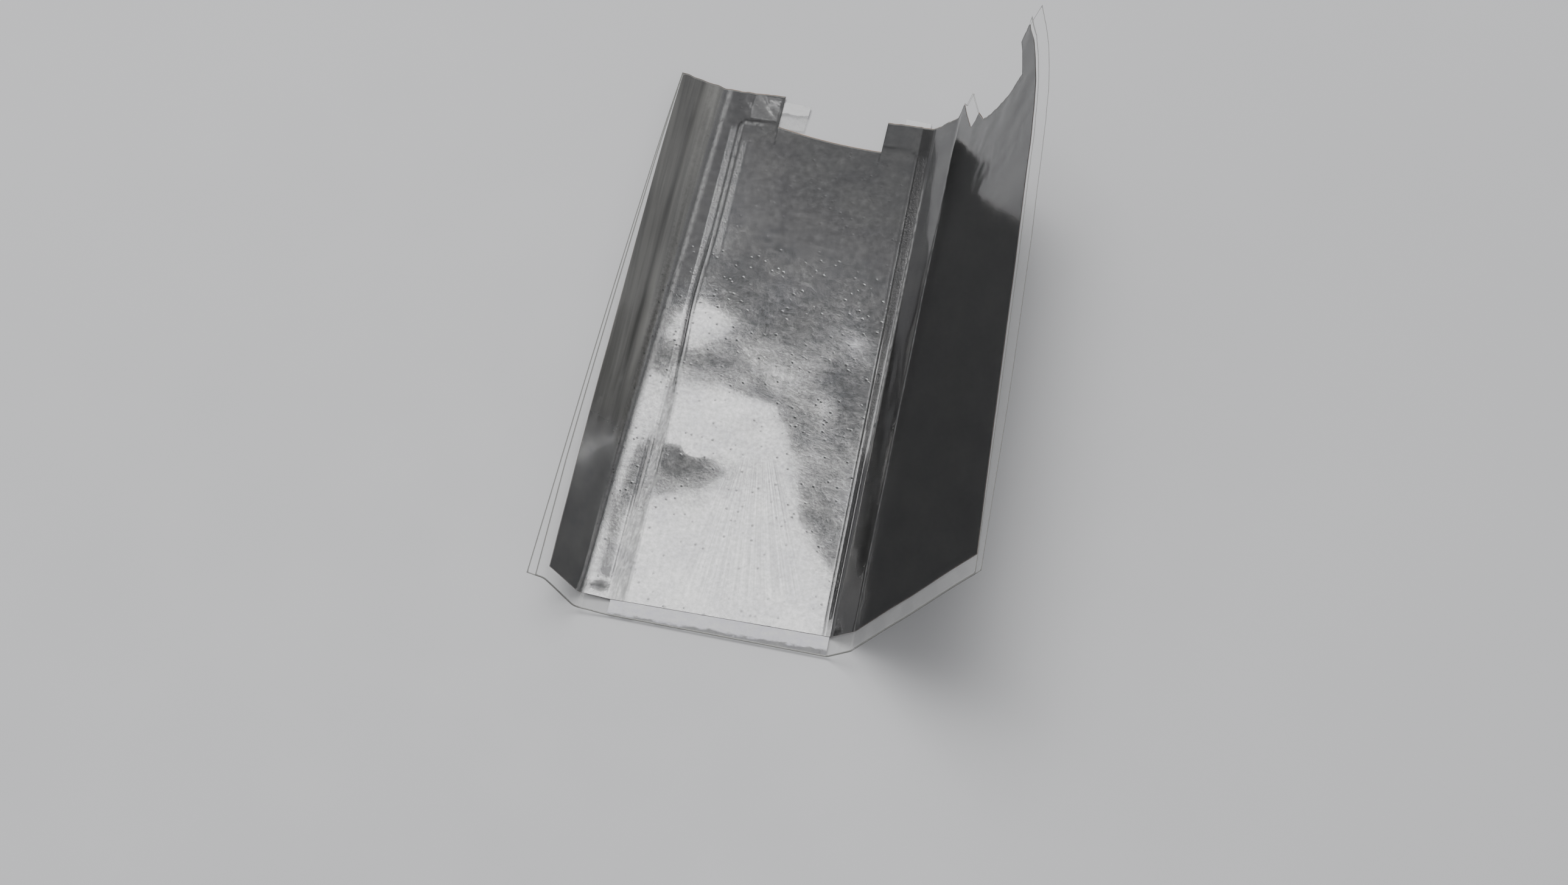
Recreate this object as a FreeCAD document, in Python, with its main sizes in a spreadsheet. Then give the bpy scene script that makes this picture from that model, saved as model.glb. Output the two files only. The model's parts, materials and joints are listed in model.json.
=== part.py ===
import FreeCAD, Part
import math
import os
import re
import Sketcher

# The opened electrode wrap of a small pouch cell, in millimetres.
# The wrap is a copper anode foil coated with graphite on both faces, between two clear
# separators. Four creases along Y make it a shallow channel: a flat centre panel that rests on
# the cathode plate, two narrow side panels and two wings. +Y runs along the creases, +Z is up,
# and the origin is the middle of the resting face under the centre panel.

PARTS = "parts"
SHEET = "Sizes"

SIZES = {
    # thickness of each layer
    "film_thick": 0.03,
    "graphite_thick": 0.06,
    "copper_thick": 0.02,
    "cathode_coat_thick": 0.07,
    "aluminium_thick": 0.02,
    "tape_thick": 0.08,
    "tab_film_thick": 0.03,
    "strip_thick": 0.06,
    # lengths along Y, from the front edge of the coated sheet
    "left_ear_end": 90.0,
    "right_ear_end": 88.2,
    "left_wing_end": 90.4,
    "right_side_end": 87.8,
    "origin_from_front": 44.0,
    # the creases beside the centre panel, measured from the middle line
    "crease_left_front": 15.6,
    "crease_left_rear": 13.2,
    "crease_right_front": 15.2,
    "crease_right_rear": 15.8,
    "crease_gap": 0.04,
    # the panels outside those creases
    "left_side_width": 3.6,
    "left_wing_width": 8.0,
    "right_side_front": 4.4,
    "right_side_rear": 5.3,
    "right_wing_width": 31.4,
    # clear film that runs past the coated sheet
    "front_overhang": 2.6,
    "left_overhang": 2.7,
    "right_overhang": 3.0,
    # the notch between the two ears of the centre panel, where the tabs were
    "notch_left": 8.2,
    "notch_right": 8.4,
    "notch_left_end": 84.0,
    "notch_right_end": 82.2,
    # the torn rear edge of the right wing, and the finger left at its outer corner
    "tear_depth": 8.6,
    "tear_width": 23.2,
    "finger_width": 4.2,
    "finger_length": 9.5,
    # the cathode plate and the base film under the centre panel
    "plate_width": 27.0,
    "plate_front": 0.3,
    "plate_end": 82.0,
    "base_film_margin": 1.5,
    # what is left of the tab tapes
    "tape_width": 4.1,
    "tape_length": 5.3,
    "tape_lap": 2.4,
    "tape_step": 1.3,
    "tab_film_width": 4.2,
    "tab_film_length": 4.6,
    "tab_film_inset": 0.4,
    # how far each panel is folded up from the one that it hangs on, in degrees
    "left_side_angle": 2.0,
    "left_wing_angle": 42.0,
    "right_side_angle": 43.0,
    "right_wing_angle": 23.0,
}

# The layers of the wrap, from its top face down: name and thickness.
WRAP_LAYERS = [
    ("upper_separator", "film_thick"),
    ("upper_graphite", "graphite_thick"),
    ("copper_foil", "copper_thick"),
    ("lower_graphite", "graphite_thick"),
    ("lower_separator", "film_thick"),
]

# The layers under the wrap in the centre panel, from the top down.
BASE_LAYERS = [
    ("cathode_upper_coating", "cathode_coat_thick"),
    ("aluminium_foil", "aluminium_thick"),
    ("cathode_lower_coating", "cathode_coat_thick"),
    ("base_separator", "film_thick"),
]


def make_sheet(doc):
    """The spreadsheet that holds the driving dimensions."""
    sheet = doc.addObject("Spreadsheet::Sheet", SHEET)
    for row, (alias, value) in enumerate(SIZES.items(), start=1):
        sheet.set(f"A{row}", alias)
        sheet.set(f"B{row}", str(value))
        sheet.setAlias(f"B{row}", alias)
    doc.recompute()


def bound(formula):
    """A formula in aliases, as an expression that reads the spreadsheet."""
    return re.sub(r"[a-z]\w*", SHEET + r".\g<0>", formula)


def size(formula):
    """The number that a formula in aliases stands for."""
    sheet = FreeCAD.ActiveDocument.getObject(SHEET)
    return float(sheet.evalExpression(bound(formula)))


def depth(layers, count):
    """How far the underside of the first count layers lies under their top face."""
    return " + ".join(["0"] + [thick for _, thick in layers[:count]])


WRAP_DEPTH = depth(WRAP_LAYERS, len(WRAP_LAYERS))
BASE_DEPTH = depth(BASE_LAYERS, len(BASE_LAYERS))


def xy_plane(body):
    for feature in body.Origin.OriginFeatures:
        if feature.Role == "XY_Plane":
            return feature
    raise ValueError("the body has no XY plane")


def make_plate(doc, name, outline, thick, level, frame):
    """A thin flat piece: its outline sketched at a level of the panel's frame, padded upwards."""
    body = doc.addObject("PartDesign::Body", name)
    body.Label = name
    sketch = body.newObject("Sketcher::SketchObject", name + "_outline")
    sketch.AttachmentSupport = [(xy_plane(body), "")]
    sketch.MapMode = "FlatFace"
    sketch.setExpression("AttachmentOffset.Base.z", bound(level))
    corners = [FreeCAD.Vector(size(across), size(along), 0) for across, along in outline]
    following = corners[1:] + corners[:1]
    for corner, next_corner in zip(corners, following):
        sketch.addGeometry(Part.LineSegment(corner, next_corner), False)
    for line in range(len(corners)):
        next_line = (line + 1) % len(corners)
        sketch.addConstraint(Sketcher.Constraint("Coincident", line, 2, next_line, 1))
    for line, place in enumerate(outline):
        for kind, formula in zip(("DistanceX", "DistanceY"), place):
            rule = Sketcher.Constraint(kind, -1, 1, line, 1, size(formula))
            number = sketch.addConstraint(rule)
            sketch.setExpression(f"Constraints[{number}]", bound(formula))
    pad = body.newObject("PartDesign::Pad", name + "_pad")
    pad.Profile = sketch
    pad.setExpression("Length", bound(thick))
    body.Placement = frame
    return body


def crease_frame(panel, front, rear, fold):
    """The frame of the next panel: its Y axis is the crease, and fold turns it about that axis."""
    heading = -math.degrees(math.atan2(size(rear) - size(front), size("left_ear_end")))
    turn = FreeCAD.Rotation(FreeCAD.Vector(0, 0, 1), heading)
    tilt = FreeCAD.Rotation(FreeCAD.Vector(0, 1, 0), size(fold))
    return panel * FreeCAD.Placement(FreeCAD.Vector(size(front), 0, 0), turn * tilt)


def panel_frames():
    """Each panel's frame: its origin is on the wrap's top face, at the coated sheet's front."""
    top = FreeCAD.Vector(0, -size("origin_from_front"), size(f"{WRAP_DEPTH} + {BASE_DEPTH}"))
    frames = {"centre": FreeCAD.Placement(top, FreeCAD.Rotation())}
    frames["left_side"] = crease_frame(
        frames["centre"], "-crease_left_front", "-crease_left_rear", "left_side_angle"
    )
    frames["left_wing"] = crease_frame(
        frames["left_side"], "-left_side_width", "-left_side_width", "left_wing_angle"
    )
    frames["right_side"] = crease_frame(
        frames["centre"], "crease_right_front", "crease_right_rear", "-right_side_angle"
    )
    frames["right_wing"] = crease_frame(
        frames["right_side"], "right_side_front", "right_side_rear", "-right_wing_angle"
    )
    return frames


def centre_outline(front, _):
    """The centre panel: oblique creases, two ears and the notch between them."""
    return [
        ("-crease_left_front + crease_gap", front),
        ("crease_right_front - crease_gap", front),
        ("crease_right_rear - crease_gap", "right_ear_end"),
        ("notch_right", "right_ear_end"),
        ("notch_right", "notch_right_end"),
        ("-notch_left", "notch_left_end"),
        ("-notch_left", "left_ear_end"),
        ("-crease_left_rear + crease_gap", "left_ear_end"),
    ]


def left_side_outline(front, _):
    return [
        ("-left_side_width + crease_gap", front),
        ("-crease_gap", front),
        ("-crease_gap", "left_ear_end"),
        ("-left_side_width + crease_gap", "left_ear_end"),
    ]


def left_wing_outline(front, share):
    """The short left wing. Its film overhang fades out towards the rear."""
    return [
        (f"-left_wing_width - left_overhang * {share}", front),
        ("-crease_gap", front),
        ("-crease_gap", "left_ear_end"),
        ("-left_wing_width", "left_wing_end"),
    ]


def right_side_outline(front, _):
    return [
        ("crease_gap", front),
        ("right_side_front - crease_gap", front),
        ("right_side_rear - crease_gap", "right_side_end"),
        ("crease_gap", "right_side_end"),
    ]


def right_wing_outline(front, share):
    """The tall right wing: a slightly tapered sheet with a torn rear edge."""
    edge = f"right_wing_width + right_overhang * {share}"
    finger = "right_side_end - tear_depth + finger_length"
    return [
        ("crease_gap", front),
        (edge, front),
        (f"{edge} - tear_depth * 0.2", "right_side_end - tear_width * 0.85"),
        (f"{edge} - finger_width * 1.4", "right_side_end - tear_depth * 0.45"),
        (f"{edge} - finger_width * 1.9", finger),
        ("right_wing_width - finger_width * 2.4", f"{finger} - finger_length * 0.2"),
        ("right_wing_width - finger_width * 1.95", "right_side_end - tear_depth * 0.9"),
        ("right_wing_width - finger_width * 2.8", "right_side_end - tear_depth"),
        ("right_wing_width - tear_width * 0.9", "right_side_end - tear_depth * 0.85"),
        ("right_wing_width - tear_width", "right_side_end - tear_depth * 0.5"),
        ("right_wing_width - tear_width * 1.1", "right_side_end - tear_depth * 0.65"),
        ("crease_gap", "right_side_end"),
    ]


OUTLINES = {
    "centre": centre_outline,
    "left_side": left_side_outline,
    "left_wing": left_wing_outline,
    "right_side": right_side_outline,
    "right_wing": right_wing_outline,
}


def make_panel(doc, panel, frame):
    """The five layers of one panel. The clear separators run past the coated sheet."""
    for number, (layer, thick) in enumerate(WRAP_LAYERS, start=1):
        is_film = layer.endswith("separator")
        front = "-front_overhang" if is_film else "0"
        outline = OUTLINES[panel](front, 1 if is_film else 0)
        level = f"-({depth(WRAP_LAYERS, number)})"
        make_plate(doc, f"{panel}_{layer}", outline, thick, level, frame)


def rectangle(left, right, front, rear):
    return [(left, front), (right, front), (right, rear), (left, rear)]


def make_base(doc, frame):
    """The cathode plate that the centre panel lies on, and the film under the plate."""
    for number, (layer, thick) in enumerate(BASE_LAYERS, start=1):
        margin = "base_film_margin" if layer == "base_separator" else "0"
        half = f"plate_width / 2 + {margin}"
        outline = rectangle(f"-({half})", half, f"plate_front - {margin}", "plate_end")
        level = f"-({WRAP_DEPTH} + {depth(BASE_LAYERS, number)})"
        make_plate(doc, layer, outline, thick, level, frame)


def make_front_strip(doc, frame):
    """The dry white strip of separator that lies between the two films in front of the sheet."""
    side = "crease_gap * 5"
    outline = rectangle(
        f"-crease_left_front + {side}", f"crease_right_front - {side}",
        "-front_overhang + crease_gap", "-crease_gap",
    )
    level = f"-({WRAP_DEPTH}) + film_thick"
    make_plate(doc, "dry_separator_strip", outline, "strip_thick", level, frame)


def make_tab_remains(doc, frame):
    """The tapes that held the tabs, under the ears, and the clear tab film on the left ear."""
    under_wrap = f"-({WRAP_DEPTH} + tape_thick)"
    left_tape = rectangle(
        "-notch_left - tape_lap", "-notch_left + tape_width",
        "notch_left_end + crease_gap", "notch_left_end + tape_length",
    )
    make_plate(doc, "left_tab_tape", left_tape, "tape_thick", under_wrap, frame)
    right_tape = rectangle(
        "notch_right + tape_lap", "notch_right + tape_lap + tape_width",
        "right_ear_end + tape_step - tape_length", "right_ear_end + tape_step",
    )
    make_plate(doc, "right_tab_tape", right_tape, "tape_thick", under_wrap, frame)
    tab_film = rectangle(
        "-notch_left - tab_film_inset - tab_film_width", "-notch_left - tab_film_inset",
        "left_ear_end - tab_film_inset - tab_film_length", "left_ear_end - tab_film_inset",
    )
    make_plate(doc, "left_tab_film", tab_film, "tab_film_thick", "0", frame)


def check_and_export(doc):
    """Stops on any failed object or bad shape, then writes each body to its own file."""
    for item in doc.Objects:
        if "Invalid" in item.State or "Error" in item.State:
            raise RuntimeError(f"{item.Name} did not compute: {item.State}")
    bodies = [item for item in doc.Objects if item.TypeId == "PartDesign::Body"]
    for body in bodies:
        if body.Shape.isNull() or not body.Shape.isValid() or len(body.Shape.Solids) != 1:
            raise RuntimeError(f"{body.Label} is not one valid solid")
    os.makedirs(PARTS, exist_ok=True)
    for body in bodies:
        body.Shape.exportStep(os.path.join(PARTS, body.Label + ".step"))
    print(len(bodies), "bodies written")


def print_creases(frames):
    """The line of each crease, for the joints that turn about them."""
    for panel, frame in frames.items():
        along = frame.Rotation.multVec(FreeCAD.Vector(0, 1, 0))
        print(panel, [round(v, 5) for v in frame.Base], [round(v, 6) for v in along])


def main():
    doc = FreeCAD.newDocument("opened_pouch_cell")
    make_sheet(doc)
    frames = panel_frames()
    for panel, frame in frames.items():
        make_panel(doc, panel, frame)
    make_base(doc, frames["centre"])
    make_front_strip(doc, frames["centre"])
    make_tab_remains(doc, frames["centre"])
    doc.recompute()
    check_and_export(doc)
    print_creases(frames)


main()
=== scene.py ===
import json
import math

import bpy
import numpy as np
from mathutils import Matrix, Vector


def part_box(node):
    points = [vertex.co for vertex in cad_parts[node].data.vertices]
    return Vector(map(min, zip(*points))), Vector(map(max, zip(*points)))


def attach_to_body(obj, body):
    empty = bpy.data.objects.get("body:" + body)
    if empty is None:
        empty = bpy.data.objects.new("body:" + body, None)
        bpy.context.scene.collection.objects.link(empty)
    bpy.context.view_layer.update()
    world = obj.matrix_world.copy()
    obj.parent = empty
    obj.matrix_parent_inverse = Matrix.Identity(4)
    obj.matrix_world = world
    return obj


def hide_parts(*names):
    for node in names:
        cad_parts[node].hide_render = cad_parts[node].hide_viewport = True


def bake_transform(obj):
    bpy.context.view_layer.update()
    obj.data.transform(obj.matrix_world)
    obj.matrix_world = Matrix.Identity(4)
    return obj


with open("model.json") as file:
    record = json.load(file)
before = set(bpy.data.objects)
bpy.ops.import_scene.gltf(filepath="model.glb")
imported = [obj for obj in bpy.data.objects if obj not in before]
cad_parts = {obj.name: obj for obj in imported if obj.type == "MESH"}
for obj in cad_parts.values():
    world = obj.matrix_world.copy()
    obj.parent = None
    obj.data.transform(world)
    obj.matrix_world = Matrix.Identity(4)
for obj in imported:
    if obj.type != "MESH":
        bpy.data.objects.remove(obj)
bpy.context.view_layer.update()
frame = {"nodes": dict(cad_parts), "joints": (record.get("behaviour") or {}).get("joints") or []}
MM = 0.001
JOINTS = {joint["name"]: joint for joint in frame["joints"]}

# ---------------------------------------------------------------- sizes, in millimetres
# "across" is measured over the sheet from its middle line, and "along" from the coated sheet's
# front edge towards the notched rear edge.


def thickness(node):
    low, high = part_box(node)
    return (high.z - low.z) / MM


FRONT_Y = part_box("centre_upper_graphite")[0].y / MM
TOP_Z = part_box("centre_upper_separator")[1].z / MM
FILM = thickness("centre_upper_separator")
GRAPHITE = thickness("centre_upper_graphite")
COPPER = thickness("centre_copper_foil")
TAPE = thickness("left_tab_tape")
WRAP = 2 * FILM + 2 * GRAPHITE + COPPER
SHEET_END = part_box("centre_upper_graphite")[1].y / MM - FRONT_Y
LEFT_SIDE_WIDTH = 3.6
RIGHT_SIDE_FRONT, RIGHT_SIDE_REAR = 4.4, 5.3
LEFT_WING_WIDTH = 8.0


def crease_across(name, along):
    """Where the crease of a joint beside the centre panel crosses the sheet."""
    joint = JOINTS[name]
    start = joint["pos_m"][0] / MM
    start_along = joint["pos_m"][1] / MM - FRONT_Y
    return start + (along - start_along) * joint["axis"][0] / joint["axis"][1]


def left_crease(along):
    return crease_across("left_side_fold", along)


def right_crease(along):
    return crease_across("right_side_fold", along)


def left_outer_crease(along):
    return left_crease(along) - LEFT_SIDE_WIDTH


def right_outer_crease(along):
    share = along / SHEET_END
    return right_crease(along) + RIGHT_SIDE_FRONT + (RIGHT_SIDE_REAR - RIGHT_SIDE_FRONT) * share


# ---------------------------------------------------------------- small number helpers
def smooth(t):
    """An eased step from 0 to 1 as t goes from 0 to 1."""
    t = np.clip(t, 0, 1)
    return t * t * (3 - 2 * t)


def hill(d, width):
    """A bump of height 1 at distance 0 that fades over a width."""
    return np.exp(-((d / width) ** 2))


def between(value, start, end, ease):
    """1 between two places and 0 outside them, eased over a distance."""
    return smooth((value - start) / ease) * smooth((end - value) / ease)


def value_noise(x, y, seed):
    """Smooth noise from -1 to 1 on a lattice with one random value per whole step."""
    table = np.random.default_rng(seed).uniform(-1, 1, (64, 64))
    xi, yi = np.floor(x).astype(int), np.floor(y).astype(int)
    fx, fy = smooth(x - xi), smooth(y - yi)
    low = table[xi % 64, yi % 64] * (1 - fx) + table[(xi + 1) % 64, yi % 64] * fx
    high = table[xi % 64, (yi + 1) % 64] * (1 - fx) + table[(xi + 1) % 64, (yi + 1) % 64] * fx
    return low * (1 - fy) + high * fy


def rough_noise(x, y, seed):
    """Two octaves of value noise."""
    return value_noise(x, y, seed) + 0.5 * value_noise(2.1 * x + 7, 2.1 * y + 3, seed + 1)


class Grid:
    """A table of values on an even grid, read between its points."""

    def __init__(self, table, start, step):
        self.table, self.start, self.step = table, start, step

    def read(self, u, v):
        rows, cols = self.table.shape
        i = np.clip((u - self.start[0]) / self.step[0], 0, rows - 1.001)
        j = np.clip((v - self.start[1]) / self.step[1], 0, cols - 1.001)
        i0, j0 = i.astype(int), j.astype(int)
        fi, fj = i - i0, j - j0
        low = self.table[i0, j0] * (1 - fj) + self.table[i0, j0 + 1] * fj
        high = self.table[i0 + 1, j0] * (1 - fj) + self.table[i0 + 1, j0 + 1] * fj
        return low * (1 - fi) + high * fi


# ---------------------------------------------------------------- the folded sheet
# The creases are rounded. The left wing's is softer and lies a little further out, and the film
# past that wing lies at its own, flatter slope in degrees.
CREASE_RADIUS = 0.55
LEFT_WING_RADIUS = 0.95
LEFT_WING_SHIFT = 0.75
LEFT_FILM_START = 0.5
FILM_SPLAY = 22


def left_side_tilt(along):
    """Slopes in degrees, which change along the sheet: this strip flattens towards the rear."""
    return 8 - 8 * smooth(along / 60)


def left_wing_tilt(along):
    """The left wing twists: steep at the front and nearly flat at the rear."""
    return 61.5 - 0.36 * along - 0.0018 * along**2


def right_side_tilt(along):
    return 43 + 2 * along / SHEET_END


def right_wing_tilt(along):
    return 63 + 6 * along / SHEET_END


def tilt(across, along):
    """How steeply the sheet rises, in degrees, going outwards from the middle line."""
    def fold(past, radius=CREASE_RADIUS):
        return smooth((past + radius) / (2 * radius))

    wing_start = left_outer_crease(along) - LEFT_WING_SHIFT
    film_start = left_outer_crease(along) - LEFT_WING_WIDTH - LEFT_FILM_START
    side, wing = left_side_tilt(along), left_wing_tilt(along)
    left = side * fold(left_crease(along) - across)
    left += (wing - side) * fold(wing_start - across, LEFT_WING_RADIUS)
    left += (np.minimum(wing, FILM_SPLAY) - wing) * fold(film_start - across)
    side, wing = right_side_tilt(along), right_wing_tilt(along)
    right = side * fold(across - right_crease(along))
    right += (wing - side) * fold(across - right_outer_crease(along))
    return left + right


class Sheet:
    """The top surface of the folded sheet, worked out row by row by adding up its slope."""

    STEP = 0.1
    ACROSS = np.arange(-34, 62, STEP)
    ALONG = np.arange(-4, 96, 1.0)

    def __init__(self):
        across, along = np.meshgrid(self.ACROSS, self.ALONG)
        angle = np.radians(tilt(across, along))
        self.middle = int(round(-self.ACROSS[0] / self.STEP))
        self.x = self.sum_from_middle(np.cos(angle))
        self.z = self.sum_from_middle(np.where(across < 0, -1, 1) * np.sin(angle))

    def sum_from_middle(self, slope):
        between = (slope[:, 1:] + slope[:, :-1]) / 2 * self.STEP
        total = np.concatenate([np.zeros((len(slope), 1)), np.cumsum(between, axis=1)], axis=1)
        total -= total[:, self.middle : self.middle + 1]
        return Grid(total, (self.ALONG[0], self.ACROSS[0]), (1.0, self.STEP))

    def point(self, across, along, height):
        """Points in metres at a height over the sheet's top face, in millimetres."""
        angle = np.radians(tilt(across, along)) * np.where(across < 0, -1, 1)
        x = self.x.read(along, across) - np.sin(angle) * height
        z = self.z.read(along, across) + np.cos(angle) * height
        return np.stack([x, FRONT_Y + along, TOP_Z + z], axis=-1) * MM


SHEET = Sheet()


# ---------------------------------------------------------------- waves of the centre panel
# How steeply the sheet rises, in degrees, going in the waves' heading: towards its rear right
# corner, turned this far from the creases. It bulges over the plate in soft waves. There is a row
# for each place along, with a value for each place across. All are chosen one by one.
WAVE_HEADING = math.radians(31.5)
WAVE_ACROSS = [-18.5, -16.5, -13, -10, -7, -4, -1, 2, 5, 8, 11, 13]
WAVES = {
    -14: [0.0, 0.0, 0.0, 0.0, 0.0, 0.0, 0.0, 0.0, 0.0, 0.0, 0.0, 0.0],
    0: [-1.4, -1.3, -0.8, 0.3, 0.7, 0.9, 1.0, 0.8, 0.5, 0.5, 0.2, 0.0],
    6: [-1.6, -1.4, -1.0, 0.1, 0.9, 1.2, 1.1, 0.7, 0.6, 0.5, -0.3, -1.2],
    12: [-1.6, -1.5, -2.2, -1.8, -0.7, 0.6, 1.0, 1.0, 0.9, 0.1, -1.8, -2.6],
    17: [-0.6, -1.4, -4.8, -4.6, -3.4, -0.2, 1.2, 1.4, 0.8, -2.3, -2.8, -2.0],
    22: [0.0, -0.5, -4.6, -5.6, -5.6, -3.2, 0.6, 1.4, -0.2, -2.0, -2.1, -1.6],
    25.4: [0.4, 0.6, -3.6, -4.0, -4.4, -3.4, 0.2, 1.1, -0.6, -1.2, -1.8, -1.5],
    25.9: [0.4, 0.7, -1.6, -1.2, -1.2, -4.2, 0.0, 1.0, -0.6, -1.1, -1.8, -1.5],
    30: [0.6, 1.2, -0.3, 0.0, 0.0, -4.2, -1.4, 0.2, -1.4, -0.9, -1.6, -1.5],
    33: [0.4, 0.9, -0.6, -0.1, 0.8, 1.5, -0.8, -2.0, -1.3, -0.6, -1.5, -1.5],
    35.5: [0.2, 1.0, -1.8, -1.6, -1.4, -1.8, -3.2, -2.4, -1.3, 0.1, -1.6, -1.3],
    40: [-2.4, -0.4, -1.7, -2.7, -2.3, -1.5, -1.3, -1.8, -1.5, -1.4, -1.3, -1.3],
    43.5: [-1.2, 0.8, 0.3, -1.2, -2.0, -1.2, -1.1, -1.7, -1.5, -1.2, -0.6, -0.4],
    47: [-2.8, 0.0, 2.2, 0.5, -1.4, -2.2, -1.8, -1.6, -1.6, -0.8, 0.7, -0.6],
    50: [-3.0, -1.4, 0.2, -0.8, -1.7, -1.9, -1.7, -1.6, -1.3, -1.0, -0.7, -1.1],
    55: [-3.4, -1.9, -1.3, -1.2, -1.3, -1.2, -1.1, -1.0, -0.9, -0.7, -0.8, -0.8],
    62: [-3.0, -1.8, -0.9, -1.0, -0.9, -0.8, -0.8, -0.7, -0.6, -0.4, -0.4, -0.4],
    76: [-2.0, -1.2, -0.2, -0.3, -0.3, -0.3, -0.3, -0.2, -0.2, -0.1, -0.1, -0.1],
    90: [0.0, 0.0, 0.0, 0.0, 0.0, 0.0, 0.0, 0.0, 0.0, 0.0, 0.0, 0.0],
}
WAVE_STEP = 0.25
WAVE_START = (-34, -30)
WAVE_SMOOTHING = 0.03
WAVE_REACH = 14.0
WAVE_STRENGTH = 1.45
WAVE_BASE = 0.2
SIDE_STRIP_DIP = 0.25


def wave_heights():
    """The low, smooth surface in mm whose slope along the heading comes nearest to the waves'."""
    along = np.arange(WAVE_START[0], 110, WAVE_STEP)
    across = np.arange(WAVE_START[1], 30, WAVE_STEP)
    columns = [np.interp(along, list(WAVES), column) for column in zip(*WAVES.values())]
    slope = np.stack([np.interp(across, WAVE_ACROSS, row) for row in np.stack(columns, axis=1)])
    for _ in range(10):
        slope[:, 1:-1] = (slope[:, :-2] + 2 * slope[:, 1:-1] + slope[:, 2:]) / 4
    fade = smooth((20 - np.abs(across)) / 3)[None, :] * smooth((along + 4) / 4)[:, None]
    along_wave = 2 * np.pi * np.fft.fftfreq(len(along), WAVE_STEP)[:, None]
    across_wave = 2 * np.pi * np.fft.fftfreq(len(across), WAVE_STEP)[None, :]
    ahead = across_wave * math.sin(WAVE_HEADING) + along_wave * math.cos(WAVE_HEADING)
    beside = across_wave * math.cos(WAVE_HEADING) - along_wave * math.sin(WAVE_HEADING)
    resist = ahead**2 + WAVE_SMOOTHING * beside**2 + 1 / WAVE_REACH**2
    slope = np.fft.fft2(np.tan(np.radians(WAVE_STRENGTH * slope)) * fade)
    height = np.fft.ifft2(-1j * ahead * slope / resist).real
    return Grid(height, WAVE_START, (WAVE_STEP, WAVE_STEP))


WAVE_HEIGHTS = wave_heights()


# ---------------------------------------------------------------- relief of the sheet
PLATE_RIGHT = 13.75


def plate_left(along):
    """The left side of the plate's imprint, which wanders outwards at mid-length."""
    return -13.45 - 0.45 * smooth((along - 28) / 14) - 0.35 * hill(along - 51, 8)


def plate_rear(across):
    return 83.6 - 0.055 * across


def plate_inside(across, along):
    """Distance inside the outline of the plate that presses through the centre panel."""
    side = np.minimum(across - plate_left(along), PLATE_RIGHT - across)
    rear = plate_rear(across) - along
    corner = 1.2
    round_off = corner - np.hypot(np.maximum(corner - side, 0), np.maximum(corner - rear, 0))
    return np.where((side < corner) & (rear < corner), round_off, np.minimum(side, rear))


def imprint(across, along):
    """The step down around the plate, with a groove at its foot and fine lines beside it."""
    inside = plate_inside(across, along)
    on_plate = smooth((along + 0.5) / 0.5) * smooth((inside + 1.3) / 1.4)
    drop = np.where(along > plate_rear(across), 0.05, 0.04)
    height = -drop * (1 - on_plate)
    front_left_line = 1 - smooth((34 - along) / 6) * (across < 0)
    height -= 0.03 * hill(inside + 0.35, 0.15) * smooth(along / 3) * (0.25 + 0.75 * front_left_line)
    left_fold = between(along, 37, 84, 4) * (across < 0)
    height += 0.02 * hill(inside - 0.12, 0.2) * left_fold
    height -= 0.05 * hill(inside + 0.45, 0.24) * between(along, 38, 64, 4) * (across < 0)
    height += 0.010 * hill(inside - 0.35, 0.10) * smooth((along - 50) / 10)
    front_left = between(along, 0.5, 28, 5)
    for line, rise in ((-14.6, 0.008), (-15.15, 0.012), (-15.65, 0.008), (-16.1, 0.005)):
        height += rise * hill(across - line - 0.004 * along, 0.12) * front_left
    front_right = between(along, 0.5, 31, 4)
    height += 0.04 * hill(across - 14.35, 0.18) * front_right
    height -= 0.04 * hill(across - 15.0, 0.2) * front_right
    return height


def ear_crumple(across, along):
    """Creases of the left ear, where its tab was pulled off."""
    on_ear = between(across, -14.5, -8.0, 1.0) * smooth((along - 84.6) / 1.0)
    ridges = np.abs(rough_noise(across * 0.55 + 0.4 * along, along * 0.35, 31))
    return 0.07 * (0.5 - ridges) * on_ear


def wing_ripples(across, along):
    """Long soft ripples of the left wing."""
    out = left_outer_crease(along) - across
    on_wing = between(out, 1.5, LEFT_WING_WIDTH + 1, 1.2) * smooth((along - 22) / 8)
    wander = 1.3 * value_noise(along / 16, along * 0 + out / 9, 41)
    return 0.035 * np.sin(2 * np.pi * (out - 0.9 + wander) / 3.1) * on_wing


def relief(across, along):
    """Height of the sheet over its ideal folded shape, in millimetres."""
    centre = smooth((across + 30) / 8) * smooth((21 - across) / 7)
    waves = WAVE_HEIGHTS.read(along, across) * centre * smooth((along + 0.3) / 3)
    lowest = -SIDE_STRIP_DIP * smooth((-14.5 - across) / 1.5)
    height = np.maximum(WAVE_BASE + waves, lowest)
    on_centre = smooth((across - left_crease(along) + 3.0) / 3.0)
    on_centre *= smooth((right_crease(along) - across + 2.5) / 2.5)
    height += imprint(across, along) * on_centre
    height += ear_crumple(across, along) + wing_ripples(across, along)
    away = smooth((np.abs(across) - 17) / 3)
    height += 0.06 * away * rough_noise(across / 9 + 20, along / 11 + 20, 51)
    torn_end = smooth((across - 21) / 3) * smooth((along - 56) / 10)
    return height + 0.03 * torn_end * rough_noise(across / 3.5, along / 4 + 7, 52)


# ---------------------------------------------------------------- outlines
# the centre's pieces meet the side strips' this far inside the creases
SEAM_LEFT, SEAM_RIGHT = 2.6, -2.2
# the rear edge: the notch between two ears, and the place from which the rows are squeezed
TORN_FROM = 76.0
EAR_LEFT_IN, EAR_RIGHT_IN = -8.2, 8.4
EAR_LEFT_END, EAR_RIGHT_END, NOTCH_FLOOR = 90.0, 88.2, 82.25
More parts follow.
